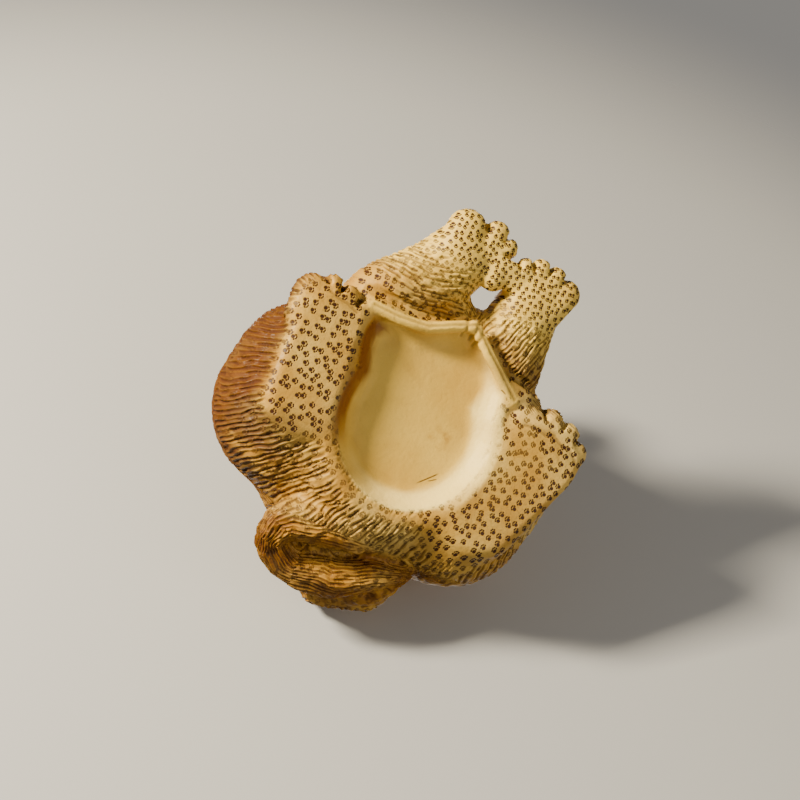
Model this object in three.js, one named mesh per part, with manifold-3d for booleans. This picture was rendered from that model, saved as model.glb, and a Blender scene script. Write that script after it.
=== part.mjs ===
// Puppy carved from one piece of bamboo root, lying on its belly with its head up.
// Millimetres, +Z up. It rests on its four soles at z = 0, faces -Y, and its left side is +X.

import * as THREE from "three";
import { mergeVertices } from "three/addons/utils/BufferGeometryUtils.js";
import Module from "manifold-3d";

// Driving sizes
const bodyLength = 86; // from the tips of the forepaws to the back of the tail
const bellyDepth = 4.6; // scooped hollow of the belly, below the soles' plane
const soleTrim = 0.12; // left under the soles' plane by the soft cut, and then sawn off flat
const toeCleft = 1; // width of the cut between two toes
const foldGroove = 2; // width of the cut that parts a leg from the belly
const mouthLine = 1.1; // width of the mouth's lines
const earThickness = 4.4; // hanging ear, at its thickest
const lockGroove = 0.6; // depth of the grooves that part the tail's locks
const latticeStep = 0.8; // spacing of the samples that the surface is found with
const facetCount = 9200; // triangles kept on the finished solid

// The pose and the proportions are hundredths of the length.
const share = bodyLength / 100;
const at = (x, y, z) => new THREE.Vector3(x, y, z).multiplyScalar(share);
const degrees = THREE.MathUtils.degToRad;

// A form is a function of a point that gives its distance to the form's skin, negative inside.
// Egg: an ellipsoid with its half axes in shares, turned about X, Y and Z in degrees.
function egg(centre, halfAxes, turn = [0, 0, 0]) {
  const [a, b, c] = halfAxes.map((h) => h * share);
  const m = new THREE.Matrix4().makeRotationFromEuler(
    new THREE.Euler(...turn.map((angle) => degrees(angle)), "ZYX"),
  ).elements;
  return (x, y, z) => {
    const dx = x - centre.x;
    const dy = y - centre.y;
    const dz = z - centre.z;
    const u = (m[0] * dx + m[1] * dy + m[2] * dz) / a;
    const v = (m[4] * dx + m[5] * dy + m[6] * dz) / b;
    const w = (m[8] * dx + m[9] * dy + m[10] * dz) / c;
    const reach = Math.sqrt(u * u + v * v + w * w);
    const slope = Math.sqrt((u * u) / (a * a) + (v * v) / (b * b) + (w * w) / (c * c));
    return slope > 0 ? (reach * (reach - 1)) / slope : -Math.min(a, b, c);
  };
}

// Limb: a round bar from one point to the next, with its own radius in shares at each end.
function limb(from, to, fromRadius, toRadius) {
  const axis = to.clone().sub(from);
  const span = axis.lengthSq();
  const r0 = fromRadius * share;
  const grow = toRadius * share - r0;
  return (x, y, z) => {
    const dx = x - from.x;
    const dy = y - from.y;
    const dz = z - from.z;
    const along = (dx * axis.x + dy * axis.y + dz * axis.z) / span;
    const t = Math.min(1, Math.max(0, along));
    const rest = Math.hypot(dx - t * axis.x, dy - t * axis.y, dz - t * axis.z);
    return rest - r0 - t * grow;
  };
}

// Soft join: the forms flow together over the given radius in shares.
function join(radius, ...forms) {
  const k = radius * share;
  return (x, y, z) => {
    let near = forms[0](x, y, z);
    for (let i = 1; i < forms.length; i++) {
      const d = forms[i](x, y, z);
      const h = Math.max(k - Math.abs(near - d), 0) / k;
      near = Math.min(near, d) - (h * h * k) / 4;
    }
    return near;
  };
}

// Cut: takes the cutters away from a form, with edges rounded over a radius in shares.
function cut(radius, form, ...cutters) {
  const k = radius * share;
  return (x, y, z) => {
    let left = form(x, y, z);
    for (const cutter of cutters) {
      const d = -cutter(x, y, z);
      const h = Math.max(k - Math.abs(left - d), 0) / k;
      left = Math.max(left, d) + (h * h * k) / 4;
    }
    return left;
  };
}

// Nearby: the least of some forms close to a ball around them, and the distance to that ball from
// further off, where no join or cut reaches.
function nearby(centre, radius, ...forms) {
  const reach = radius * share;
  const wellClear = 6 * share;
  return (x, y, z) => {
    const clear = Math.hypot(x - centre.x, y - centre.y, z - centre.z) - reach;
    if (clear > wellClear) return clear;
    return Math.min(...forms.map((form) => form(x, y, z)));
  };
}

// Bar: a round bar along a smooth line through the points, its radii in shares spread along it.
function bar(radii, points, steps = 12) {
  const line = new THREE.CatmullRomCurve3(points).getPoints(steps);
  const radiusAt = (t) => {
    const place = t * (radii.length - 1);
    const i = Math.min(Math.max(0, radii.length - 2), Math.floor(place));
    return THREE.MathUtils.lerp(radii[i], radii[i + 1] ?? radii[i], place - i);
  };
  const pieces = line
    .slice(1)
    .map((p, i) => limb(line[i], p, radiusAt(i / steps), radiusAt((i + 1) / steps)));
  const around = new THREE.Box3().setFromPoints(line).getBoundingSphere(new THREE.Sphere());
  return nearby(around.center, around.radius / share + Math.max(...radii), ...pieces);
}

// Stroke: the thin bar that a cut of the given width in millimetres takes away.
const stroke = (width, points) => bar([width / 2 / share], points);

// Trunk: chest, barrel and rump of the lying body, and the broad pad of the belly.
function trunk() {
  return join(
    9,
    egg(at(0, 8, 28), [28.5, 31, 23]),
    egg(at(0, 19, 24), [26, 18.5, 20]),
    egg(at(-1, -15, 24), [18, 17, 17.5]),
    bellyPad(),
  );
}

// Belly pad: a flat round cushion whose underside is level with the soles.
function bellyPad() {
  const centre = at(0, 3.5, 8);
  const radius = 26 * share;
  const half = 8.6 * share;
  const round = 8 * share;
  return (x, y, z) => {
    const out = Math.hypot(x - centre.x, y - centre.y) - radius + round;
    const up = Math.abs(z - centre.z) - half + round;
    return Math.hypot(Math.max(out, 0), Math.max(up, 0)) + Math.min(Math.max(out, up), 0) - round;
  };
}

// Below the soles: all that the flat cut under the feet takes away, with soft edges to the soles.
const belowSoles = (x, y, z) => z + soleTrim;

// Hollow: the scooped belly, an oval with a point towards the chest and sloping walls.
function bellyHollow() {
  const oval = join(
    5,
    egg(at(0.3, 3, 0), [18.2, 19.2, 60]),
    egg(at(-9, -7, 0), [10, 9, 60]),
    egg(at(-13.5, -9.5, 0), [7, 6.5, 60]),
    egg(at(2, -13, 0), [12.5, 10.5, 60]),
  );
  const slope = 0.75;
  const corner = 3 * share;
  return (x, y, z) => {
    const wall = oval(x, y, 0) + slope * (z - 0.3 * bellyDepth);
    const floor = z - bellyDepth;
    const h = Math.max(corner - Math.abs(wall - floor), 0) / corner;
    return Math.max(wall, floor) + (h * h * corner) / 4;
  };
}

// Chest: the front of the trunk below the neck, and the flap of skin at the left end of its lip.
function chest() {
  return join(
    1.5,
    egg(at(-2, -15, 7.5), [17, 9, 7.5], [0, 0, -8]),
    egg(at(-1, -23, 14), [8, 8, 9]),
    egg(at(-4, -26, 13), [6, 6.5, 8]),
    egg(at(2.5, -27, 14), [5, 5, 8]),
    egg(at(18.5, -16.5, 5.5), [7, 4.2, 5], [0, 0, -15]),
  );
}

// Lip: the thin roll of skin along the front of the hollow, pointed in the middle.
function lip() {
  const middle = at(0, -24.8, 1.9);
  const right = [at(-23.5, -15.4, 2.4), at(-17, -16.2, 1.9), at(-9.7, -18.2, 1.8), at(-4.4, -22, 1.8)];
  const left = [at(5, -22, 1.8), at(11, -18.6, 1.8), at(17.5, -14.8, 2)];
  return join(1, bar([1.5], [...right, middle]), bar([1.5], [middle, ...left]));
}

// Folds: the cuts that part the forelegs from the chest rim.
function folds() {
  const right = [at(-28, -18.4, 3), at(-20, -19.4, 2), at(-12, -21, 2), at(-6.5, -25, 3.5)];
  const left = [at(2.5, -27.2, 4), at(7, -24, 2.2), at(13, -20.6, 2), at(22, -20, 3.5)];
  return [stroke(foldGroove, right), stroke(foldGroove, left)];
}

// Hind leg: round haunch, knee and the long flat foot. Side is -1 on the right, 1 on the left.
function hindLeg(side) {
  return join(
    5,
    egg(at(23.9 * side, 12.5, 20.3), [19.5, 20.6, 19.6], [0, 0, 20 * side]),
    egg(at(31.5 * side, 2, 16), [11.5, 12, 12]),
    side < 0
      ? limb(at(-26.5, 12, 3), at(-29.3, -6, 3), 8.4, 9.2)
      : limb(at(26, 12, 3), at(30.6, -7, 3), 9.4, 10.4),
  );
}

// The middle of a row of toes.
const middleOf = (rows) => at((rows[0][0] + rows[3][0]) / 2, (rows[0][1] + rows[3][1]) / 2, 4);

// Toes: short rounded bars side by side along the edge of a foot. Each row gives the tip, the
// radius and how far the toe reaches back, in shares.
function toes(rows, lean) {
  const bars = rows.map(([x, y, r, back]) => limb(at(x * lean, y + back, 4), at(x, y, r), r * 1.05, r));
  return nearby(middleOf(rows), 18, join(1, ...bars));
}

// Clefts: upright blades that part each toe from the next, set in the notch where the two meet.
function clefts(rows) {
  const blade = toeCleft / 2 / share;
  const blades = rows.slice(1).map(([x, y, r], i) => {
    const [px, py, pr] = rows[i];
    const gap = Math.hypot(x - px, y - py);
    const t = 0.5 + (pr * pr - r * r) / (2 * gap * gap);
    const out = Math.sqrt(Math.max(0, pr * pr - t * t * gap * gap)) - 0.4;
    const [cos, sin] = [(x - px) / gap, (y - py) / gap];
    const notch = at(px + t * (x - px) + out * sin, py + t * (y - py) - out * cos, 1);
    return egg(notch, [blade, 2.6, 3.4], [0, 0, THREE.MathUtils.radToDeg(Math.atan2(sin, cos))]);
  });
  return nearby(middleOf(rows), 16, ...blades);
}

const rightHind = [
  [-36.6, -10.4, 5, 5],
  [-33.8, -14, 3.2, 5],
  [-29.4, -13.8, 3.2, 5],
  [-24.4, -12.6, 3.4, 5],
];
const leftHind = [
  [23.6, -14, 4.5, 5],
  [29.2, -16.2, 3.5, 5],
  [34.3, -15.6, 3.4, 5],
  [38, -12.6, 3.6, 5],
];
const rightFore = [
  [-13.2, -44.2, 5, 5],
  [-6.7, -46.9, 3.3, 5],
  [-2.9, -45.2, 3, 5],
  [-1.9, -41.4, 3, 4],
];
const leftFore = [
  [0.9, -42, 2.6, 2.6],
  [3.8, -43.8, 2.8, 4],
  [7.4, -45.5, 3.1, 5],
  [11.5, -45.9, 3.2, 5],
  [15.9, -44.3, 3.9, 5],
];

// Foreleg: shoulder, elbow and the thick forearm that runs forward to the paw.
function foreleg(side) {
  const shoulder = egg(at(17 * side, -8, 26), [12, 13, 15]);
  const right = [at(-19, -10, 22), at(-21, -18.5, 11), at(-13.4, -29.5, 10.6), at(-10.6, -38, 7.9)];
  const left = [at(18, -10, 22), at(14.5, -19.5, 11), at(12, -30, 10), at(10.4, -38.8, 7.4)];
  const arm = side < 0 ? bar([10, 9.4, 9.8, 8.5], right, 9) : bar([9.5, 9.6, 9.4, 8], left, 9);
  return join(5, shoulder, arm);
}

// Head: round skull, cheeks, brow and a short blunt muzzle on a thick neck.
function head() {
  const neck = limb(at(0, -4, 34), at(0, -10, 46), 17, 14);
  const skull = egg(at(0, -14, 51.5), [16.5, 15.5, 14.5]);
  const cheeks = egg(at(0, -19, 44.5), [14.5, 11.5, 9.5]);
  const muzzle = limb(at(0, -24, 43), at(0, -30.4, 42.8), 9, 7.4);
  const brows = [-1, 1].map((side) => egg(at(7.2 * side, -24.8, 56), [4.6, 3.4, 3]));
  return join(3, join(5, neck, skull, cheeks, muzzle), ...brows);
}

// Nose: a broad pad at the top of the muzzle's end.
const nose = () => egg(at(0, -36.4, 46.4), [4, 2.4, 2.7], [-25, 0, 0]);

// Mouth: the line below the nose and the two lines that run back along the lips.
function mouth() {
  const lip = (side) => [at(0, -37.9, 40.8), at(4 * side, -36, 39), at(7.4 * side, -31.5, 38.8)];
  return [
    stroke(mouthLine, [at(0, -38.4, 43.6), at(0, -37.9, 40.8)]),
    stroke(mouthLine, lip(-1)),
    stroke(mouthLine, lip(1)),
  ];
}

// Eye: a shallow socket below the brow with a round lid in it.
const socket = (side) => egg(at(8 * side, -29, 50.8), [4.4, 3, 3.4], [0, 0, -26 * side]);
const eyeball = (side) => egg(at(7.7 * side, -26.3, 50.6), [3.2, 3, 2.7], [0, 0, -26 * side]);

// Ear: a soft flap, broad and round below, that hangs down the side of the head.
function ear(side) {
  const half = earThickness / 2 / share;
  const root = egg(at(14.6 * side, -11, 57), [half * 1.3, 5.6, 6], [0, -34 * side, 0]);
  const flap = egg(at(17.6 * side, -12.4, 46.5), [half, 7.4, 11], [0, -8 * side, 8 * side]);
  return nearby(at(16 * side, -12, 49), 16, join(3, root, flap));
}

// Tail: the bushy tail comes from the rump, turns back on itself and ends in a pointed tip. Its
// hair lies in locks that run along it.
function tail() {
  const line = new THREE.CatmullRomCurve3([
    at(3, 31.5, 9),
    at(-5, 33, 8.5),
    at(-12.5, 36.5, 10),
    at(-13, 42.5, 13),
    at(-6, 45.5, 15),
    at(4, 42.8, 15),
    at(12.5, 37, 14),
    at(20, 33, 13),
  ]);
  const radii = [4.4, 5.4, 5, 3.8, 4.4, 5.4, 4.6, 1.6];
  const backLine = new THREE.CatmullRomCurve3([at(20, 34.5, 14), at(15, 41, 21), at(6, 45.5, 24)]);
  const back = join(2.5, locked(backLine, [1.6, 5.6, 5.2], 8), egg(at(7, 41, 28), [9.5, 9.5, 8.5]));
  return join(1.5, locked(line, radii, 18), back, egg(at(-4, 37, 18), [9, 5, 7]));
}

// Locked bar: a bar whose skin is parted by grooves that wind slowly along it.
function locked(line, radii, steps) {
  const knots = line.getPoints(steps);
  const locks = 6;
  const wind = 0.1;
  const skinBand = 3 * lockGroove;
  const bare = bar(radii, line.points, steps);
  return (x, y, z) => {
    const d = bare(x, y, z);
    if (Math.abs(d) > skinBand) return d;
    const point = new THREE.Vector3(x, y, z);
    const gaps = knots.map((knot) => knot.distanceToSquared(point));
    const near = gaps.indexOf(Math.min(...gaps));
    const from = knots[Math.max(0, near - 1)];
    const along = knots[Math.min(steps, near + 1)].clone().sub(from);
    const t = along.dot(point.clone().sub(from)) / along.lengthSq();
    const out = point.sub(from).addScaledVector(along, -t);
    const across = (out.x * along.y - out.y * along.x) / Math.hypot(along.x, along.y);
    const angle = Math.atan2(out.z, across) + wind * (near + 2 * t);
    return d + (lockGroove / 2) * Math.cos(locks * angle);
  };
}

// Puppy: the forms joined from the large to the small, then the cuts.
function puppy() {
  const body = join(4, trunk(), hindLeg(-1), hindLeg(1), head());
  const limbs = join(1.5, join(2, body, foreleg(-1), foreleg(1)), chest());
  const feet = join(
    1,
    limbs,
    toes(rightHind, 0.97),
    toes(leftHind, 0.97),
    toes(rightFore, 0.92),
    toes(leftFore, 0.92),
    ear(-1),
    ear(1),
    nose(),
    tail(),
  );
  const scooped = join(1, cut(2.4, feet, bellyHollow(), belowSoles), lip());
  const parted = cut(
    0.6,
    scooped,
    ...folds(),
    clefts(rightHind),
    clefts(leftHind),
    clefts(rightFore),
    clefts(leftFore),
    ...mouth(),
    socket(-1),
    socket(1),
  );
  return join(0.4, parted, eyeball(-1), eyeball(1));
}

// Lattice: the form sampled on a regular grid that covers it, block by block. A block whose
// middle lies far from the skin takes that one distance all over.
function sampled(form, box, step) {
  const size = box.getSize(new THREE.Vector3()).divideScalar(step).ceil().addScalar(1);
  const [nx, ny, nz] = size.toArray();
  const values = new Float32Array(nx * ny * nz);
  const block = 5;
  const far = 1.2 * Math.sqrt(3) * (block / 2) * step;
  const d = (i, j, k) => form(box.min.x + i * step, box.min.y + j * step, box.min.z + k * step);
  const fill = (i0, j0, k0) => {
    const middle = d(i0 + block / 2, j0 + block / 2, k0 + block / 2);
    for (let k = k0; k < Math.min(nz, k0 + block); k++) {
      for (let j = j0; j < Math.min(ny, j0 + block); j++) {
        for (let i = i0; i < Math.min(nx, i0 + block); i++) {
          values[i + nx * (j + ny * k)] = Math.abs(middle) > far ? middle : d(i, j, k) || 1e-6;
        }
      }
    }
  };
  for (let k = 0; k < nz; k += block) {
    for (let j = 0; j < ny; j += block) {
      for (let i = 0; i < nx; i += block) fill(i, j, k);
    }
  }
  return { nx, ny, nz, values };
}

// Skin: each cell of the lattice is six tetrahedra, and each gives up to two triangles.
function skinOf(form, box, step) {
  const { nx, ny, nz, values } = sampled(form, box, step);
  const strides = [1, nx, nx * ny];
  const orders = [[0, 1, 2], [1, 2, 0], [2, 0, 1], [0, 2, 1], [2, 1, 0], [1, 0, 2]];
  const points = [];
  const triangles = [];
  const known = new Map();
  const place = (n) => [
    box.min.x + (n % nx) * step,
    box.min.y + (Math.floor(n / nx) % ny) * step,
    box.min.z + Math.floor(n / (nx * ny)) * step,
  ];
  const crossing = (a, b) => {
    const key = a < b ? a * values.length + b : b * values.length + a;
    if (!known.has(key)) {
      const t = THREE.MathUtils.clamp(values[a] / (values[a] - values[b]), 0.1, 0.9);
      const p = place(a);
      const q = place(b);
      known.set(key, points.length / 3);
      points.push(...p.map((value, axis) => value + t * (q[axis] - value)));
    }
    return known.get(key);
  };
  const add = (flip, a, b, c) => triangles.push(a, flip ? c : b, flip ? b : c);
  const pairs = [[0, 1], [0, 2], [0, 3], [1, 2], [1, 3], [2, 3]];
  const cell = (corner) => {
    orders.forEach((order, turn) => {
      const v = [corner];
      for (const axis of order) v.push(v[v.length - 1] + strides[axis]);
      const inner = [0, 1, 2, 3].filter((i) => values[v[i]] < 0);
      const outer = [0, 1, 2, 3].filter((i) => values[v[i]] >= 0);
      if (!inner.length || !outer.length) return;
      const all = [...inner, ...outer];
      const swaps = pairs.filter(([i, j]) => all[i] > all[j]).length;
      const odd = turn > 2 !== (swaps % 2 === 1);
      const edge = (i, j) => crossing(v[all[i]], v[all[j]]);
      if (inner.length === 1) add(odd, edge(0, 1), edge(0, 2), edge(0, 3));
      if (inner.length === 3) add(odd, edge(0, 3), edge(1, 3), edge(2, 3));
      if (inner.length === 2) {
        add(odd, edge(0, 2), edge(0, 3), edge(1, 3));
        add(odd, edge(0, 2), edge(1, 3), edge(1, 2));
      }
    });
  };
  for (let k = 0; k < nz - 1; k++) {
    for (let j = 0; j < ny - 1; j++) {
      for (let i = 0; i < nx - 1; i++) cell(i + j * nx + k * nx * ny);
    }
  }
  return { points, triangles };
}

// Settle: moves each point of the skin along the form's slope until it lies on the form.
function settle(points, form, rounds = 2) {
  const e = 0.05;
  const mostPull = 0.4;
  for (let n = 0; n < points.length; n += 3) {
    for (let round = 0; round < rounds; round++) {
      const [x, y, z] = points.slice(n, n + 3);
      const d = form(x, y, z);
      const gx = (form(x + e, y, z) - d) / e;
      const gy = (form(x, y + e, z) - d) / e;
      const gz = (form(x, y, z + e) - d) / e;
      const slope = gx * gx + gy * gy + gz * gz;
      const pull = THREE.MathUtils.clamp(d / (slope + 1e-9), -mostPull, mostPull);
      points[n] = x - pull * gx;
      points[n + 1] = y - pull * gy;
      points[n + 2] = z - pull * gz;
    }
  }
}

// Misfit: the summed squares of the distances from a point to the planes gathered in q.
const misfit = (q, x, y, z) =>
  x * (q[0] * x + 2 * (q[1] * y + q[2] * z + q[6])) +
  y * (q[3] * y + 2 * (q[4] * z + q[7])) +
  z * (q[5] * z + 2 * q[8]) +
  q[9];

// Best point: where the misfit is least, or the middle of the edge where no one point is best.
function bestPoint(q, p, r) {
  const middle = p.map((value, axis) => (value + r[axis]) / 2);
  const [a, b, c, d, e, f, g, h, i] = q;
  const soft = 1e-4 * (a + d + f) + 1e-9;
  const m = new THREE.Matrix3().set(a + soft, b, c, b, d + soft, e, c, e, f + soft);
  const side = new THREE.Vector3(...middle).multiplyScalar(soft).sub(new THREE.Vector3(g, h, i));
  const best = side.applyMatrix3(m.invert()).toArray();
  const span = Math.hypot(...p.map((value, axis) => value - r[axis]));
  const off = Math.hypot(...best.map((value, axis) => value - middle[axis]));
  return off < 2 * span ? best : middle;
}

// Queue of edges, cheapest first.
function queue() {
  const heap = [];
  const swap = (i, j) => ([heap[i], heap[j]] = [heap[j], heap[i]]);
  const push = (item) => {
    let i = heap.push(item) - 1;
    while (i > 0 && heap[i].cost < heap[(i - 1) >> 1].cost) {
      swap(i, (i - 1) >> 1);
      i = (i - 1) >> 1;
    }
  };
  const pop = () => {
    swap(0, heap.length - 1);
    const top = heap.pop();
    for (let i = 0; ; ) {
      const l = 2 * i + 1;
      const r = l + 1;
      let least = i;
      if (l < heap.length && heap[l].cost < heap[least].cost) least = l;
      if (r < heap.length && heap[r].cost < heap[least].cost) least = r;
      if (least === i) return top;
      swap(i, least);
      i = least;
    }
  };
  return { push, pop, any: () => heap.length > 0 };
}

// Facets: folds edges of the fine skin away, the least noticed first, down to the wanted count.
function faceted({ points, triangles }, wanted) {
  const leastTurn = 0.3; // cosine of the most that a fold may turn a facet
  const total = points.length / 3;
  const spot = Array.from({ length: total }, (_, v) => points.slice(3 * v, 3 * v + 3));
  const planes = Array.from({ length: total }, () => new Float64Array(10));
  const around = Array.from({ length: total }, () => new Set());
  const faces = [];
  const version = new Uint32Array(total);
  const normalOf = (a, b, c) => {
    const [ux, uy, uz] = [b[0] - a[0], b[1] - a[1], b[2] - a[2]];
    const [vx, vy, vz] = [c[0] - a[0], c[1] - a[1], c[2] - a[2]];
    return [uy * vz - uz * vy, uz * vx - ux * vz, ux * vy - uy * vx];
  };
  for (let t = 0; t < triangles.length; t += 3) {
    const face = [triangles[t], triangles[t + 1], triangles[t + 2]];
    const [x, y, z] = normalOf(...face.map((v) => spot[v]));
    const size = Math.hypot(x, y, z) || 1e-12;
    const [px, py, pz] = spot[face[0]];
    const normal = [x / size, y / size, z / size, -(x * px + y * py + z * pz) / size];
    const terms = [[0, 0], [0, 1], [0, 2], [1, 1], [1, 2], [2, 2], [0, 3], [1, 3], [2, 3], [3, 3]];
    const plane = terms.map(([i, j]) => normal[i] * normal[j] * size);
    faces.push(face);
    for (const v of face) {
      around[v].add(faces.length - 1);
      plane.forEach((value, i) => (planes[v][i] += value));
    }
  }
  const neighbours = (v) => {
    const found = new Set([...around[v]].flatMap((f) => faces[f]));
    found.delete(v);
    return found;
  };
  const edges = queue();
  const offer = (a, b) => {
    const q = planes[a].map((value, i) => value + planes[b][i]);
    const best = bestPoint(q, spot[a], spot[b]);
    const span = Math.hypot(...spot[a].map((value, axis) => value - spot[b][axis]));
    const cost = Math.max(0, misfit(q, ...best)) + 1e-5 * span * span;
    edges.push({ cost, a, b, q, best, stamp: version[a] + version[b] });
  };
  const turnsOver = (v, other, best) => {
    for (const f of around[v]) {
      if (faces[f].includes(other)) continue;
      const before = normalOf(...faces[f].map((w) => spot[w]));
      const after = normalOf(...faces[f].map((w) => (w === v ? best : spot[w])));
      const dot = before[0] * after[0] + before[1] * after[1] + before[2] * after[2];
      if (dot < leastTurn * Math.hypot(...before) * Math.hypot(...after) + 1e-12) return true;
    }
    return false;
  };
  for (let v = 0; v < total; v++) {
    for (const w of neighbours(v)) {
      if (v < w) offer(v, w);
    }
  }
  let left = faces.length;
  while (left > wanted && edges.any()) {
    const { a, b, q, best, stamp } = edges.pop();
    if (!around[a].size || !around[b].size || stamp !== version[a] + version[b]) continue;
    const near = neighbours(b);
    const shared = [...neighbours(a)].filter((v) => near.has(v));
    if (!near.has(a) || shared.length !== 2) continue;
    if (turnsOver(a, b, best) || turnsOver(b, a, best)) continue;
    spot[a] = best;
    planes[a] = q;
    for (const f of [...around[b]]) {
      if (faces[f].includes(a)) {
        for (const v of faces[f]) around[v].delete(f);
        left--;
      } else {
        faces[f] = faces[f].map((v) => (v === b ? a : v));
        around[a].add(f);
      }
    }
    around[b] = new Set();
    version[a]++;
    for (const v of neighbours(a)) offer(a, v);
  }
  return { spot, faces, around };
}

// Solid of a closed surface whose points are shared by their triangles.
const solidOf = (wasm, vertProperties, triVerts) =>
  new wasm.Manifold(new wasm.Mesh({ numProp: 3, vertProperties, triVerts }));

// The facets that are left, as one solid.
function facetSolid(wasm, { spot, faces, around }) {
  const left = faces.filter((face, f) => around[face[0]].has(f));
  const kept = [...new Set(left.flat())];
  const place = new Map(kept.map((v, n) => [v, n]));
  const vertices = kept.flatMap((v) => spot[v]);
  const corners = left.flatMap((face) => face.map((v) => place.get(v)));
  return solidOf(wasm, new Float32Array(vertices), new Uint32Array(corners));
}

// Ground: a block whose top is the plane that the soles stand on.
function groundSolid(wasm, box) {
  const size = box.getSize(new THREE.Vector3()).multiplyScalar(2);
  const block = new THREE.BoxGeometry(size.x, size.y, size.z).translate(0, 0, -size.z / 2);
  block.deleteAttribute("normal");
  block.deleteAttribute("uv");
  const merged = mergeVertices(block);
  const corners = new Uint32Array(merged.index.array);
  return solidOf(wasm, merged.attributes.position.array, corners);
}

// Surface of a solid, moved so that its box stands on z = 0 with its middle on the Z axis.
function standingGeometry(solid) {
  const { vertProperties, triVerts } = solid.getMesh();
  const geometry = new THREE.BufferGeometry();
  geometry.setAttribute("position", new THREE.BufferAttribute(new Float32Array(vertProperties), 3));
  geometry.setIndex(new THREE.BufferAttribute(new Uint32Array(triVerts), 1));
  geometry.computeBoundingBox();
  const middle = geometry.boundingBox.getCenter(new THREE.Vector3());
  return geometry.translate(-middle.x, -middle.y, 0);
}

const wasm = await Module();
wasm.setup();
const form = puppy();
const room = new THREE.Box3(at(-54, -58, -9), at(54, 58, 74));
const skin = skinOf(form, room, latticeStep);
settle(skin.points, form);
const carved = facetSolid(wasm, faceted(skin, facetCount)).subtract(groundSolid(wasm, room));

const bambooRoot = new THREE.MeshStandardMaterial({ color: 0xc2924e, roughness: 0.5, metalness: 0 });
const carving = new THREE.Mesh(standingGeometry(carved), bambooRoot);
carving.name = "puppy";

const group = new THREE.Group();
group.add(carving);
export default group;
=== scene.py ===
import math

import bpy
import numpy as np
from mathutils import Matrix, Vector


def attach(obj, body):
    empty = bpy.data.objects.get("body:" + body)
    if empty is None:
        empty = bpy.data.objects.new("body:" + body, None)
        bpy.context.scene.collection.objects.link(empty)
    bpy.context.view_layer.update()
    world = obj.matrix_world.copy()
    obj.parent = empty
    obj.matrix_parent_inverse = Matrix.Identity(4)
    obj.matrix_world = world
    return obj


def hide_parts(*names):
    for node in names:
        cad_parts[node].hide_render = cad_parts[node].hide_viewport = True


# A puppy carved from one piece of bamboo root, seen from below, as the photograph shows it: the
# scooped belly, the soles with their fibre bundle dots, the cut fur and the curled tail.
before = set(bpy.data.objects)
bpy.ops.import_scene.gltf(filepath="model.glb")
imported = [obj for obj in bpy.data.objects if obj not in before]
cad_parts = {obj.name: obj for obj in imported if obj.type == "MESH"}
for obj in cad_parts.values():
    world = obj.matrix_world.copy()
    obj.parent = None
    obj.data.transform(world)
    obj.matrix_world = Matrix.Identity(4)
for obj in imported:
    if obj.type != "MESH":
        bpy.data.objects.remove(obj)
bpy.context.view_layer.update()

# Camera. It looks up at the underside, a little from the right and from behind, with the forepaws
# at the top of the picture. The photograph shows a whole carving of 86 mm in 460 of 800 pixels.
camera_place = Vector((-0.0696, 0.0394, -0.2549))
camera_target = Vector((-0.0057, -0.0005, 0.0008))
image_up = Vector((-0.53, -0.848, 0))
look = (camera_target - camera_place).normalized()
image_right = look.cross(image_up).normalized()
image_up = image_right.cross(look)
bpy.ops.object.select_all(action="DESELECT")
bpy.ops.object.camera_add()
camera = bpy.context.active_object
turned = Matrix((image_right, image_up, -look)).transposed().to_4x4()
camera.matrix_world = Matrix.Translation(camera_place) @ turned
camera.data.lens = 60
camera.data.clip_start = 0.01
bpy.context.scene.camera = camera

# Carving blank. The real piece is one root base, sawn and rounded to the form of the puppy. The
# blank is a copy of the solid with its facets melted into one smooth skin.
share = 0.00086  # a hundredth of the carving's length
box_middle = np.array([-0.019, 0.446, 0])  # where the solid's box is centred, in shares
skin_step = 0.00023
melt_passes = 14
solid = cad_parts["puppy"]
carving = bpy.data.objects.new("carved_puppy", solid.data.copy())
bpy.context.scene.collection.objects.link(carving)
bpy.ops.object.select_all(action="DESELECT")
carving.select_set(True)
bpy.context.view_layer.objects.active = carving
bpy.ops.object.mode_set(mode="EDIT")
bpy.ops.mesh.select_all(action="SELECT")
bpy.ops.mesh.remove_doubles(threshold=0.000001)
bpy.ops.object.mode_set(mode="OBJECT")
carving.data.remesh_voxel_size = skin_step
bpy.ops.object.voxel_remesh()
melt = carving.modifiers.new("melt", "SMOOTH")
melt.factor = 0.5
melt.iterations = melt_passes
bpy.ops.object.modifier_apply(modifier="melt")


# Places on the carving. They are in hundredths of its length, as a carver marks a blank: x to its
# left side, y to the tail, z up from the soles.
def skin_points():
    points = np.empty(3 * len(carving.data.vertices))
    carving.data.vertices.foreach_get("co", points)
    return points.reshape(-1, 3) / share + box_middle


def skin_normals():
    normals = np.empty(3 * len(carving.data.vertices))
    carving.data.vertex_normals.foreach_get("vector", normals)
    return normals.reshape(-1, 3)


def ease(low, high, x):
    t = np.clip((x - low) / (high - low), 0, 1)
    return t * t * (3 - 2 * t)


def near_line(p, start, end):
    a = np.array(start, float)
    line = np.array(end, float) - a
    flat = p[:, : len(a)] - a
    t = np.clip(flat @ line / (line @ line), 0, 1)
    return np.linalg.norm(flat - t[:, None] * line, axis=1)


def near_path(p, *stops):
    return np.min([near_line(p, a, b) for a, b in zip(stops, stops[1:])], axis=0)


def ripple(p, wavelength, seed, waves=14):
    rng = np.random.default_rng(seed)
    ways = rng.normal(size=(waves, 3))
    ways /= np.linalg.norm(ways, axis=1)[:, None]
    ways *= 2 * math.pi / wavelength * rng.uniform(0.6, 1.4, (waves, 1))
    return np.cos(p @ ways.T + rng.uniform(0, 2 * math.pi, waves)).sum(1) / math.sqrt(waves / 2)


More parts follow.
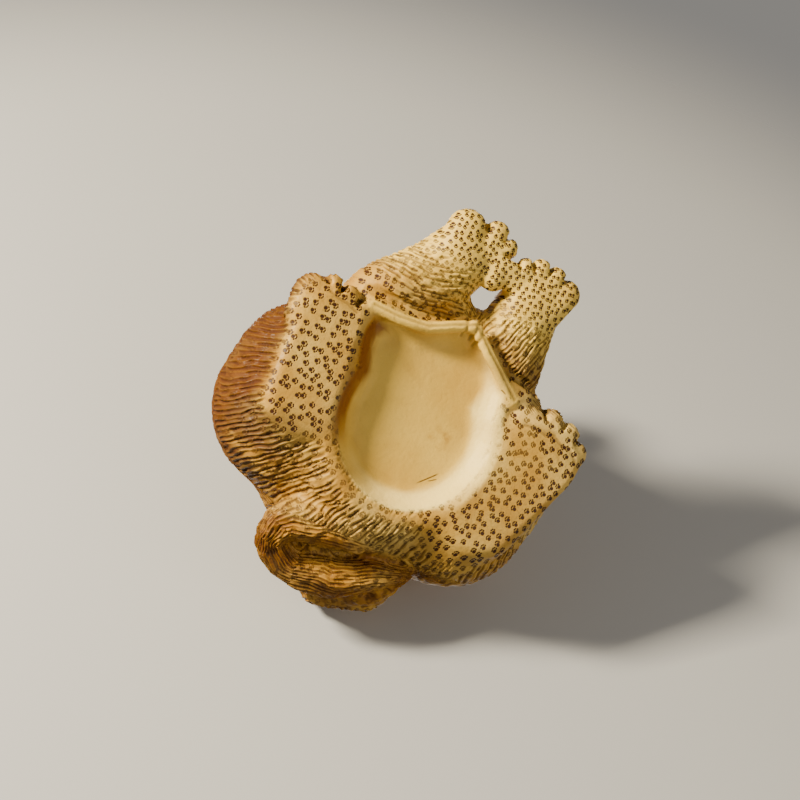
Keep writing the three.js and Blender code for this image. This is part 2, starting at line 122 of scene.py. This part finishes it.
# Belly hollow, scooped with a gouge and scraped smooth: how far outside its rim a place is.
def beyond_rim(p):
    ovals = [((0.3, 3), (18.2, 19.2)), ((-9, -7), (10, 9)), ((2, -13), (12.5, 10.5))]
    ovals.append(((-13.5, -9.5), (7, 6.5)))
    rims = []
    for (x, y), (a, b) in ovals:
        rims.append((np.hypot((p[:, 0] - x) / a, (p[:, 1] - y) / b) - 1) * (a + b) / 2)
    return np.min(rims, axis=0)


# Bare skin: the soles and toes, the underside of the left haunch, the flap and the lip are left
# uncut, so the fibre bundles show there as dots.
def bare_skin(p, n):
    down = ease(0.35, -0.15, n[:, 2])
    edge = 0.8 * ripple(p, 6, 5)
    right_sole = ease(12, 9, near_line(p, (-29.5, -10), (-27.8, 11)) + edge)
    left_sole = ease(13.5, 10.5, near_line(p, (33, -6), (23, 15)) + edge)
    right_paw = ease(10, 6.5, near_path(p, (-14, -43), (-6, -44), (-2, -41)) + edge)
    left_paw = ease(12, 8.5, near_path(p, (2, -42), (8, -43), (14, -43)) + edge)
    elbow = ease(6, 3, near_line(p, (-30, -21), (-24, -19)))
    lip = ease(3.4, 2, near_path(p, (-23, -15.5), (-9.5, -18.5), (0, -25), (11, -18.8), (19, -17)))
    margin = ease(5.5, 4, near_path(p, (17, -13), (20, -5), (20.5, 2)))
    low = ease(12, 7, p[:, 2])
    right_low = ease(3.2, 0.8, p[:, 2])
    left_low = ease(24, 13, p[:, 2])
    soles = np.maximum(right_sole * right_low, left_sole * left_low)
    rim = ease(1.6, 0.4, beyond_rim(p))
    paws = np.maximum.reduce([right_paw, left_paw, elbow, lip, margin, rim]) * low
    return np.maximum(soles, paws) * down


# Tail: its middle line, which the locks of hair follow.
tail_line = [(3, 31.5, 9), (-5, 33, 8.5), (-12.5, 36.5, 10), (-13, 42.5, 13), (-6, 45.5, 15)]
tail_line += [(4, 42.8, 15), (12.5, 37, 14), (20, 33, 13)]


def tail_places(p):
    steps = np.linspace(0, 1, 6, endpoint=False)[:, None]
    stops = [np.array(a) + steps * (np.array(b) - a) for a, b in zip(tail_line, tail_line[1:])]
    line = np.vstack([*stops, np.array(tail_line[-1:])])
    near = np.argmin([((p - stop) ** 2).sum(1) for stop in line], axis=0)
    ahead = line[np.minimum(near + 1, len(line) - 1)] - line[np.maximum(near - 1, 0)]
    ahead /= np.linalg.norm(ahead, axis=1)[:, None]
    out = p - line[near]
    along = (out * ahead).sum(1)
    out -= along[:, None] * ahead
    side = np.cross(ahead, [0, 0, 1.0])
    side /= np.linalg.norm(side, axis=1)[:, None]
    lift = np.cross(side, ahead)
    around = np.arctan2((out * lift).sum(1), (out * side).sum(1))
    return around * 5.2, near * 1.6 + along, np.linalg.norm(out, axis=1)


# Fur. It is cut with a small gouge in rows of wavy grooves that run the way the hair lies. Each
# place has a row, which counts the grooves across the hair, and a reach along the hair, which
# counts strokes of the gouge. The part of the coat that a place belongs to is told by its patch.
groove_pitch = 1.12
stroke_pitch = 9


def hair_lie(p, patch):
    x, y, z = p.T
    px, py, pz = patch.T
    fan = np.arctan2(x - 12, y + 20)
    spread = np.hypot(px - 12, py + 20) + 1.6 * ripple(patch, 7, 3)
    fan_radius = np.select([spread < 33, spread < 42, spread < 53], [28, 37, 47], 58)
    row = fan * fan_radius / groove_pitch
    reach = np.hypot(x - 12, y + 20) - z
    around, along, out = tail_places(p)
    patch_out = tail_places(patch)[2] if p is not patch else out
    ragged = pz + 1.5 * ripple(patch, 6, 4)
    lies = [
        ((ragged > 19) & (np.abs(px) > 16), (y + z) * 0.66, z - y),
        (ragged > 27, np.arctan2(x, z - 14) * 17, y),
        ((pz > 42) & (py < 0), np.arctan2(x, z - 47) * 13, y),
        ((np.abs(px) > 15) & (pz > 34.5) & (py < -3), y, z),
        ((py < -16 - 0.2 * px) & (pz < 22) & (px < -3), np.hypot(x + 24, y + 68) / 1.05, x),
        ((py < -19) & (pz < 22) & (px > 0), x * 0.97 + y * 0.24, y),
        ((py > 33 - 0.15 * px) & (patch_out < 11), around, along),
    ]
    for chosen, across, down in lies:
        row = np.where(chosen, across, row)
        reach = np.where(chosen, down, reach)
    wave = 0.34 * ripple(p, 15, 11) + 0.1 * ripple(p, 4.5, 12)
    return row + wave, reach / stroke_pitch + 0.12 * ripple(p, 7, 13)


# A stroke starts and ends shallow, and is offset from the stroke in the groove beside it.
stroke_offset = 0.618034
stroke_shallow = 0.3
stroke_swell = (-0.95, -0.2)
groove_sides = (0.5, 0.04)


def hair_grooves(row, reach):
    groove = np.round(row)
    stroke = np.cos(2 * math.pi * (reach + groove * stroke_offset))
    swell = stroke_shallow + (1 - stroke_shallow) * ease(*stroke_swell, stroke)
    return ease(*groove_sides, np.abs(row - groove)) * swell


# Creases: knife lines along the lip, small pleats across its point, and the base of the toes.
lip_line = [(-23.5, -15.4), (-17, -16.2), (-9.7, -18.2), (-4.4, -22), (0, -24.8), (5, -22)]
lip_line += [(11, -18.6), (17.5, -14.8)]
crease_lines = [[(a, b - 0.4) for a, b in lip_line]]
crease_lines += [[(-2.2, -25.4), (-1.2, -21.6)], [(0.4, -26), (1, -21.8)], [(2.8, -24.6), (2.5, -21)]]
crease_lines += [[(22.8, -11.4), (25.7, -12.2), (28.8, -12), (30.6, -12.9)]]
crease_lines += [[(30.6, -12.9), (33.2, -12.2), (35.6, -12.4)], [(35.6, -12.4), (38.4, -10.8)]]
crease_lines += [[(-33.9, -12.4), (-31.6, -12), (-29.4, -12.2)], [(-29.4, -12.2), (-26.2, -11.6)]]


def creases(p, n):
    nearest = np.min([near_path(p, *line) for line in crease_lines], axis=0)
    return ease(0.75, 0.1, nearest) * ease(0.5, 0.1, n[:, 2]) * ease(6, 4, p[:, 2])


def near_eyes(p):
    return np.linalg.norm(np.abs(p * [1, 0, 0]) + p * [0, 1, 1] - [7.9, -28.4, 50.7], axis=1)


# The grooves are pressed into the blank along its normals, and shallow dents part the coat into
# locks. The face, the bare skin and the hollow stay smooth.
def fur_cover(p, n):
    face = ease(-29, -32, p[:, 1]) * ease(38, 40, p[:, 2])
    eyes = ease(4.4, 3.4, near_eyes(p))
    return (1 - bare_skin(p, n)) * (1 - face) * (1 - eyes) * ease(0.3, 1.2, p[:, 2])


groove_depth = 0.34  # in shares, about 0.3 mm
lock_depth = 0.28
lock_pitch = 4.2
crease_depth = 0.3
triangles = 196000
places = skin_points()
normals = skin_normals()
lie = hair_lie(places, places)
locks = 0.5 + 0.5 * np.cos(2 * math.pi * (lie[0] / lock_pitch + 0.4 * ripple(places, 8, 17)))
depth = (groove_depth * hair_grooves(*lie) + lock_depth * locks) * fur_cover(places, normals)
depth += crease_depth * creases(places, normals)
places -= depth[:, None] * normals
carving.data.vertices.foreach_set("co", ((places - box_middle) * share).ravel())
carving.data.update()
thin = carving.modifiers.new("thin", "DECIMATE")
thin.ratio = triangles / (2 * len(carving.data.polygons))
bpy.ops.object.modifier_apply(modifier="thin")
bpy.ops.object.shade_smooth()

# Lie of the hair, kept on the skin as rows and reaches for the stain, and the marks that tell the
# finish where it is. The root is cream inside and orange brown near its rind.
places = skin_points()
normals = skin_normals()
x, y, z = places.T
corners = np.empty(len(carving.data.loops), np.int32)
carving.data.loops.foreach_get("vertex_index", corners)
corner_counts = np.empty(len(carving.data.polygons), np.int32)
carving.data.polygons.foreach_get("loop_total", corner_counts)
patches = np.empty(3 * len(carving.data.polygons))
carving.data.polygons.foreach_get("center", patches)
patches = np.repeat(patches.reshape(-1, 3) / share + box_middle, corner_counts, axis=0)
lie = np.stack(hair_lie(places[corners], patches), axis=1)
lie = np.column_stack([lie, np.zeros(len(lie))])
hair = carving.data.attributes.new("hair", "FLOAT_VECTOR", "CORNER")
hair.data.foreach_set("vector", lie.astype(np.float32).ravel())
tail_out = tail_places(places)[2]
on_tail = ease(32, 35, y + 0.15 * x) * ease(13, 9, tail_out)

# Rind: the outside of the right haunch, the rump, the tail, and all of the upper side.
haunch_rind = ease(-30, -37, x + 0.12 * (y - 8)) * ease(0, 8, z)
upper_rind = 0.8 * ease(4, 32, z + 2.5 * ripple(places, 12, 83))
rear_rind = 0.5 * ease(20, 34, y) * ease(8, -8, x)
rind = np.maximum.reduce([haunch_rind, rear_rind, 0.75 * on_tail, upper_rind])

# Hollow: a dark wall on its right side, part stain and part painted shade, and a pale bevel that runs
# round its left and rear, with a painted highlight on the side that faces the key light.
rim = beyond_rim(places)
wall = ease(2.6, 0.9, np.abs(rim)) * ease(-10, -14, x) * ease(-15, -12, y) * ease(19, 9, y)
pan_x, pan_y = x / np.hypot(x, y), y / np.hypot(x, y)
# The side of the bevel that faces the key light, where a highlight is painted.
bevel_lit_side = ease(-0.4, 0.6, 0.934 * pan_x + 0.36 * pan_y)

# Dusk: darker patches and a darker outer side on the right haunch, darker places behind the left arm
# and along the flap, and stain on the eyes and nose.
haunch_dusk = ease(0, 22, y) * ease(-16, -34, x - 0.3 * (y - 15))
haunch_dusk *= ease(-1.6, 0.1, ripple(places, 14, 91))
haunch_dusk = np.maximum(haunch_dusk, 0.9 * ease(-30, -37, x) * ease(0, 5, z) * ease(34, 26, z))
face_dusk = np.maximum(
    ease(3.6, 2.6, near_eyes(places)),
    ease(4.6, 3.4, np.linalg.norm(places - [0, -37, 46.6], axis=1)),
)
left_arm_dusk = 0.45 * ease(-31, -22, y) * ease(-16, -19, y) * ease(5, 8, x) * ease(24, 18, z)
flap_dusk = 0.5 * ease(6, 3.5, near_line(places, (15, -19.5), (21, -20)))

# Pale: the stain is worn off beside the bevel, on the left hind toes and under the rump.
margin = ease(3.6, 2, rim) * ease(0.2, 0.8, rim) * ease(-15, -10, y) * ease(20, 8, y) * ease(9, 15, x)
pale_toes = 0.45 * ease(5, 2.5, near_path(places, (22, -15.5), (30, -18), (38, -14.5))) * ease(9, 6, z)
pale_rear = 0.5 * ease(22, 27, y) * ease(36, 31, y) * ease(-8, 0, x) * ease(18, 12, x) * ease(18, 10, z)
marks = {
    "fur": fur_cover(places, normals),
    "crease": creases(places, normals),
    "rind": np.clip(rind + 0.12 * ripple(places, 9, 81), 0, 1),
    "bare": bare_skin(places, normals),
    "hollow": ease(0.9, 0.2, rim) * ease(7, 5.8, z),
    "bevel": ease(-4.4, -2.6, rim) * ease(1.2, 0.5, rim) * ease(7, 5.8, z) * bevel_lit_side,
    "lip": ease(1.7, 1.2, near_path(places, *lip_line)) * ease(4.5, 3.5, z),
    "fine": ease(-24, -31, y) * ease(16, 11, z),
    "wall": wall * ease(8, 5, z),
    "dusk": np.maximum.reduce([haunch_dusk, left_arm_dusk, flap_dusk, face_dusk]),
    "margin": margin,
    "pale": np.maximum.reduce([margin, pale_toes, pale_rear]),
    # Painted shade under the far end of the tail.
    "underside": on_tail * ease(43, 46, y - 0.1 * x) * ease(16, 12, z),
}
for name, values in marks.items():
    layer = carving.data.attributes.new(name, "FLOAT", "POINT")
    layer.data.foreach_set("value", values.astype(np.float32))

# Stain and polish. The bare wood is cream with a golden wax, and a brown stain has been rubbed in
# and wiped off the ridges, so it is darkest in the grooves and in the pores.
finish = bpy.data.materials.new("bamboo root, stained and rubbed")
finish.use_nodes = True
tree = finish.node_tree
tree.nodes.clear()


def put(kind, settings=(), **inputs):
    node = tree.nodes.new(kind)
    for name, value in dict(settings).items():
        setattr(node, name, value)
    for name, value in inputs.items():
        key = int(name[1:]) if name[0] == "i" and name[1:].isdigit() else name.replace("_", " ")
        if isinstance(value, bpy.types.NodeSocket):
            tree.links.new(value, node.inputs[key])
        else:
            node.inputs[key].default_value = value
    return node


def calc(operation, *values):
    inputs = {f"i{n}": value for n, value in enumerate(values)}
    return put("ShaderNodeMath", {"operation": operation}, **inputs).outputs[0]


def arrow(operation, *values):
    inputs = {f"i{n}": value for n, value in enumerate(values)}
    node = put("ShaderNodeVectorMath", {"operation": operation}, **inputs)
    return node.outputs["Value" if operation in ("DOT_PRODUCT", "LENGTH", "DISTANCE") else "Vector"]


def span(value, low, high, to_low=0.0, to_high=1.0):
    settings = {"interpolation_type": "SMOOTHSTEP"}
    inputs = dict(i0=value, i1=low, i2=high, i3=to_low, i4=to_high)
    return put("ShaderNodeMapRange", settings, **inputs).outputs[0]


def blend(amount, first, second, mode="MIX"):
    settings = {"data_type": "RGBA", "blend_type": mode, "clamp_factor": True}
    return put("ShaderNodeMix", settings, i0=amount, i6=first, i7=second).outputs[2]


def mark(name):
    return put("ShaderNodeAttribute", {"attribute_name": name}).outputs["Fac"]


def noise(vector, scale, detail=3.0, roughness=0.55):
    inputs = dict(Vector=vector, Scale=scale, Detail=detail, Roughness=roughness)
    return put("ShaderNodeTexNoise", **inputs).outputs[0]


def unless(value):
    return calc("SUBTRACT", 1.0, value)


cream = (0.47, 0.25, 0.032, 1)
pale_cream = (0.62, 0.40, 0.085, 1)
straw = (0.88, 0.60, 0.100, 1)
scraped = (0.70, 0.46, 0.075, 1)
waxed = (0.58, 0.34, 0.042, 1)
bright_wood = (0.94, 0.71, 0.22, 1)
rind_gold = (0.28, 0.100, 0.003, 1)
rind_ridge = (0.50, 0.235, 0.010, 1)
wall_stain_and_shade = (0.20, 0.056, 0.003, 1)
rind_red = (0.15, 0.042, 0.002, 1)
# Brown for the stain, and also for the painted shade under the tail's end.
stain_and_shade_brown = (0.055, 0.015, 0.003, 1)
bundle_brown = (0.040, 0.012, 0.003, 1)
position = put("ShaderNodeTexCoord").outputs["Object"]


# Fibre bundles. They run up and down through the whole root, so they are dots on the soles and
# streaks on the sides: one dark pore on the outer side and a broken ring on the inner.
def bundle_dots(spacing, size):
    columns = arrow("MULTIPLY", position, (1, 1, 0.04))
    wobble = put("ShaderNodeTexNoise", Vector=position, Scale=160.0, Detail=1.0).outputs["Color"]
    moved = arrow("MULTIPLY_ADD", wobble, (0.0006,) * 3, columns)
    settings = {"voronoi_dimensions": "2D", "feature": "F1"}
    inputs = dict(Vector=moved, Scale=1 / spacing, Randomness=0.6)
    centre = put("ShaderNodeTexVoronoi", settings, **inputs).outputs["Position"]
    away = arrow("MULTIPLY", arrow("SUBTRACT", moved, centre), (1 / spacing, 1 / spacing, 0))
    along = arrow("DOT_PRODUCT", away, arrow("NORMALIZE", centre))
    reach = arrow("LENGTH", away)
    across = calc("SUBTRACT", calc("MULTIPLY", reach, reach), calc("MULTIPLY", along, along))
    across = calc("SQRT", calc("MAXIMUM", across, 0.0))

    def pore(forward, sideways, radius):
        off_along = calc("POWER", calc("SUBTRACT", along, forward * size), 2.0)
        off_across = calc("POWER", calc("SUBTRACT", across, sideways * size), 2.0)
        gap = calc("SQRT", calc("ADD", off_along, off_across))
        return span(gap, radius * size * 1.3, radius * size * 0.7)

    off_ring = calc("ABSOLUTE", calc("SUBTRACT", reach, 0.21 * size))
    ring = calc("MULTIPLY", span(off_ring, 0.085 * size, 0.04 * size), span(along, 0.16, -0.02))
    ring = calc("MULTIPLY", ring, span(noise(position, 2600.0, 1.0), 0.42, 0.56, 0.1, 0.8))
    small = calc("MAXIMUM", pore(-0.05, 0.2, 0.08), pore(-0.2, 0.07, 0.075))
    return calc("MAXIMUM", calc("MAXIMUM", pore(0.1, 0.0, 0.17), small), ring)


fine = mark("fine")
hollow = mark("hollow")
bare = mark("bare")
wide_dots = bundle_dots(spacing=0.0019, size=1.25)
close_dots = bundle_dots(spacing=0.00124, size=1.35)
dots = blend(fine, wide_dots, close_dots)
dots = calc("MULTIPLY", dots, unless(calc("MAXIMUM", hollow, mark("wall"))))
dots = calc("MULTIPLY", dots, unless(calc("MAXIMUM", mark("lip"), mark("margin"))))
rind = mark("rind")
in_fur = calc("MULTIPLY_ADD", rind, -0.4, 0.75)
dots = calc("MULTIPLY", dots, calc("MAXIMUM", in_fur, bare))

# Gouge grooves, drawn from the rows and reaches with the same strokes that press them in.
lie_of_hair = put("ShaderNodeAttribute", {"attribute_name": "hair"}).outputs["Vector"]
lie_parts = put("ShaderNodeSeparateXYZ", Vector=lie_of_hair)
groove_number = calc("ROUND", lie_parts.outputs[0])
turns = calc("MULTIPLY_ADD", groove_number, stroke_offset, lie_parts.outputs[1])
stroke = calc("COSINE", calc("MULTIPLY", turns, 2 * math.pi))
stroke = span(stroke, *stroke_swell, stroke_shallow, 1.0)
off_middle = calc("ABSOLUTE", calc("SUBTRACT", lie_parts.outputs[0], groove_number))
groove = calc("MULTIPLY", span(off_middle, *groove_sides), calc("MULTIPLY", stroke, mark("fur")))

# Colour: cream wood, honey mottling, orange rind, a painted highlight on the bevel, stain and painted
# shade on the hollow's wall, painted shade under the tail's end, then stain in the grooves and the
# pores.
mottle = span(noise(position, 90.0, 4.0), 0.35, 0.7)
wood = blend(mottle, cream, pale_cream)
grain_turn = put("ShaderNodeMapping", Vector=position, Rotation=(0, 0, 0.56), Scale=(1, 0.12, 1))
pan_streaks = span(noise(grain_turn.outputs[0], 400.0, 3.0), 0.35, 0.75, 0.0, 0.16)
pan = blend(span(noise(position, 55.0), 0.35, 0.75), scraped, waxed)
pan = blend(pan_streaks, pan, pale_cream)
wood = blend(calc("MULTIPLY", fine, 0.8), wood, straw)
wood = blend(calc("MULTIPLY", mark("pale"), 0.75), wood, bright_wood)
wood = blend(hollow, wood, pan)
# Painted highlight: the bevel is pale wood, made paler on the side that faces the key light.
wood = blend(calc("MULTIPLY", mark("bevel"), 0.9), wood, bright_wood)
wood = blend(calc("MULTIPLY", mark("lip"), 0.6), wood, straw)
rind_colour = blend(span(noise(position, 120.0, 4.0), 0.35, 0.7), rind_gold, rind_red)
wood = blend(rind, wood, rind_colour)
ridge = calc("MULTIPLY", span(off_middle, 0.28, 0.5), mark("fur"))
wood = blend(calc("MULTIPLY", ridge, 0.5), wood, blend(rind, pale_cream, rind_ridge))
fibres = put("ShaderNodeMapping", Vector=position, Scale=(1, 1, 0.08)).outputs[0]
specks = span(noise(fibres, 1500.0, 2.0), 0.5, 0.75, 0.0, 0.25)
wood = blend(calc("MULTIPLY", specks, unless(calc("MULTIPLY", hollow, 0.8))), wood, stain_and_shade_brown)
# Stain and painted shade: the hollow's right wall is darkened.
wood = blend(calc("MULTIPLY", mark("wall"), 0.95), wood, wall_stain_and_shade)
wood = blend(calc("MULTIPLY", mark("dusk"), 0.8), wood, stain_and_shade_brown)
# Painted shade: the far underside of the tail is darkened.
wood = blend(calc("MULTIPLY", mark("underside"), 0.5), wood, stain_and_shade_brown)
rubbed_in = calc("MULTIPLY", span(groove, 0.4, 1.0), calc("MULTIPLY_ADD", rind, -0.04, 0.64))
wood = blend(rubbed_in, wood, stain_and_shade_brown)
wood = blend(span(mark("crease"), 0.3, 1.0, 0.0, 0.4), wood, stain_and_shade_brown)
wood = blend(dots, wood, bundle_brown)


# Marks of use in the hollow: a waxy smudge on its floor, and three scratches.
def spot(x, y, radius):
    flat = arrow("MULTIPLY", position, (1, 1, 0))
    middle = ((x - box_middle[0]) * share, (y - box_middle[1]) * share, 0)
    return span(arrow("DISTANCE", flat, middle), radius * share, radius * share * 0.3)


def scratch(start, end, width):
    a = (np.array(start) - box_middle[:2]) * share
    line = (np.array(end) - start) * share
    length = float(np.hypot(*line))
    way = (line[0] / length, line[1] / length, 0)
    side = (-way[1], way[0], 0)
    from_start = arrow("SUBTRACT", position, (a[0] + line[0] / 2, a[1] + line[1] / 2, 0))
    off_along = calc("ABSOLUTE", arrow("DOT_PRODUCT", from_start, way))
    off_side = calc("ABSOLUTE", arrow("DOT_PRODUCT", from_start, side))
    ends = span(off_along, length / 2, length / 4)
    return calc("MULTIPLY", span(off_side, width, width * 0.3), ends)


smudge = calc("MULTIPLY", spot(7.6, 2.1, 4.2), span(noise(position, 400.0, 4.0), 0.35, 0.7))
wood = blend(calc("MULTIPLY", calc("MULTIPLY", smudge, hollow), 0.6), wood, rind_gold)
scratches = scratch((8.2, 14.0), (12.2, 8.7), 0.0002)
scratches = calc("MAXIMUM", scratches, scratch((10.4, 12), (12.4, 10.2), 0.00013))
scratches = calc("MAXIMUM", scratches, scratch((13.4, -15.6), (15.2, -15), 0.00016))
scratches = calc("MULTIPLY", scratches, hollow)
wood = blend(calc("MULTIPLY", scratches, 0.8), wood, stain_and_shade_brown)

# Surface: rubbed with wax, so the ridges and the bare skin have a soft satin gloss.
cuts = calc("ADD", calc("MULTIPLY", groove, 0.8), calc("MULTIPLY", dots, 0.5))
cuts = calc("ADD", cuts, calc("MULTIPLY", scratches, 0.7))
height = calc("SUBTRACT", calc("MULTIPLY", noise(position, 1200.0), 0.5), cuts)
bump = put("ShaderNodeBump", Strength=0.6, Distance=0.0003, Height=height)
roughness = span(groove, 0.0, 1.0, 0.46, 0.8)
gloss = dict(Roughness=roughness, Specular_IOR_Level=0.2)
body = put("ShaderNodeBsdfPrincipled", Base_Color=wood, Normal=bump.outputs[0], **gloss)
put("ShaderNodeOutputMaterial", Surface=body.outputs[0])
carving.data.materials.clear()
carving.data.materials.append(finish)

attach(carving, "root")
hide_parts("puppy")


# Floors, plain and pale. One lies level under the soles, for the views from above. The other is
# tilted and touches the carving behind its rump and back, where the photograph's floor is. Each
# shows its upper face only, and stops no light.
def one_sided(name, colour, fade_from, fade_to):
    cover = bpy.data.materials.new(name)
    cover.use_nodes = True
    nodes, links = cover.node_tree.nodes, cover.node_tree.links
    nodes.clear()
    paper = nodes.new("ShaderNodeBsdfDiffuse")
    paper.inputs["Color"].default_value = colour
    clear = nodes.new("ShaderNodeBsdfTransparent")
    side = nodes.new("ShaderNodeNewGeometry")
    place = nodes.new("ShaderNodeTexCoord")
    far = nodes.new("ShaderNodeVectorMath")
    far.operation = "LENGTH"
    links.new(place.outputs["Object"], far.inputs[0])
    fade = nodes.new("ShaderNodeMapRange")
    fade.interpolation_type = "SMOOTHSTEP"
    fade.inputs["From Min"].default_value = fade_from
    fade.inputs["From Max"].default_value = fade_to
    links.new(far.outputs["Value"], fade.inputs["Value"])
    hidden = nodes.new("ShaderNodeMath")
    hidden.operation = "MAXIMUM"
    links.new(side.outputs["Backfacing"], hidden.inputs[0])
    links.new(fade.outputs[0], hidden.inputs[1])
    mix = nodes.new("ShaderNodeMixShader")
    links.new(hidden.outputs[0], mix.inputs[0])
    links.new(paper.outputs[0], mix.inputs[1])
    links.new(clear.outputs[0], mix.inputs[2])
    result = nodes.new("ShaderNodeOutputMaterial")
    links.new(mix.outputs[0], result.inputs[0])
    return cover


def add_floor(name, place, facing, fade_from, fade_to):
    bpy.ops.mesh.primitive_plane_add(size=3 * fade_to)
    floor = bpy.context.active_object
    floor.name = name
    floor.rotation_mode = "QUATERNION"
    floor.rotation_quaternion = facing.to_track_quat("Z", "Y")
    floor.location = place
    floor.visible_shadow = False
    floor.visible_diffuse = False
    floor.visible_glossy = False
    floor.data.materials.append(one_sided(name, (0.44, 0.44, 0.44, 1), fade_from, fade_to))


photo_floor_facing = Vector((-0.375, -0.6, -0.707)).normalized()
skin = (skin_points() - box_middle) * share
touching = (skin @ np.array(photo_floor_facing)).min()
bpy.ops.object.select_all(action="DESELECT")
add_floor("level_floor", Vector((0, 0, -0.0001)), Vector((0, 0, 1)), 0.25, 0.55)
add_floor("photo_floor", photo_floor_facing * touching, photo_floor_facing, 0.18, 0.34)


# Light: a soft key from the picture's upper left, a weak fill from its right, and two large soft
# lights over the level floor.
def add_light(name, place, target, size, power, colour):
    bpy.ops.object.light_add(type="AREA", location=place)
    light = bpy.context.active_object
    light.name = name
    light.data.size = size
    light.data.energy = power
    light.data.color = colour
    light.rotation_mode = "QUATERNION"
    light.rotation_quaternion = (target - place).to_track_quat("-Z", "Y")


middle = Vector((0, 0, 0.02))
key_place = camera_place - 0.34 * image_right + 0.27 * image_up
fill_place = camera_place + 0.3 * image_right - 0.12 * image_up
add_light("key", key_place, middle, 0.09, 9.6, (1.0, 0.88, 0.66))
add_light("fill", fill_place, middle, 0.3, 0.65, (1.0, 0.92, 0.78))
add_light("top", Vector((0.12, -0.16, 0.58)), middle, 0.4, 3.2, (1.0, 0.95, 0.88))
add_light("rear", Vector((0.2, 0.16, 0.55)), middle, 0.4, 0.9, (1.0, 0.97, 0.92))
world = bpy.data.worlds.new("studio")
world.use_nodes = True
world.node_tree.nodes["Background"].inputs[0].default_value = (0.70, 0.67, 0.62, 1)
world.node_tree.nodes["Background"].inputs[1].default_value = 0.35
bpy.context.scene.world = world
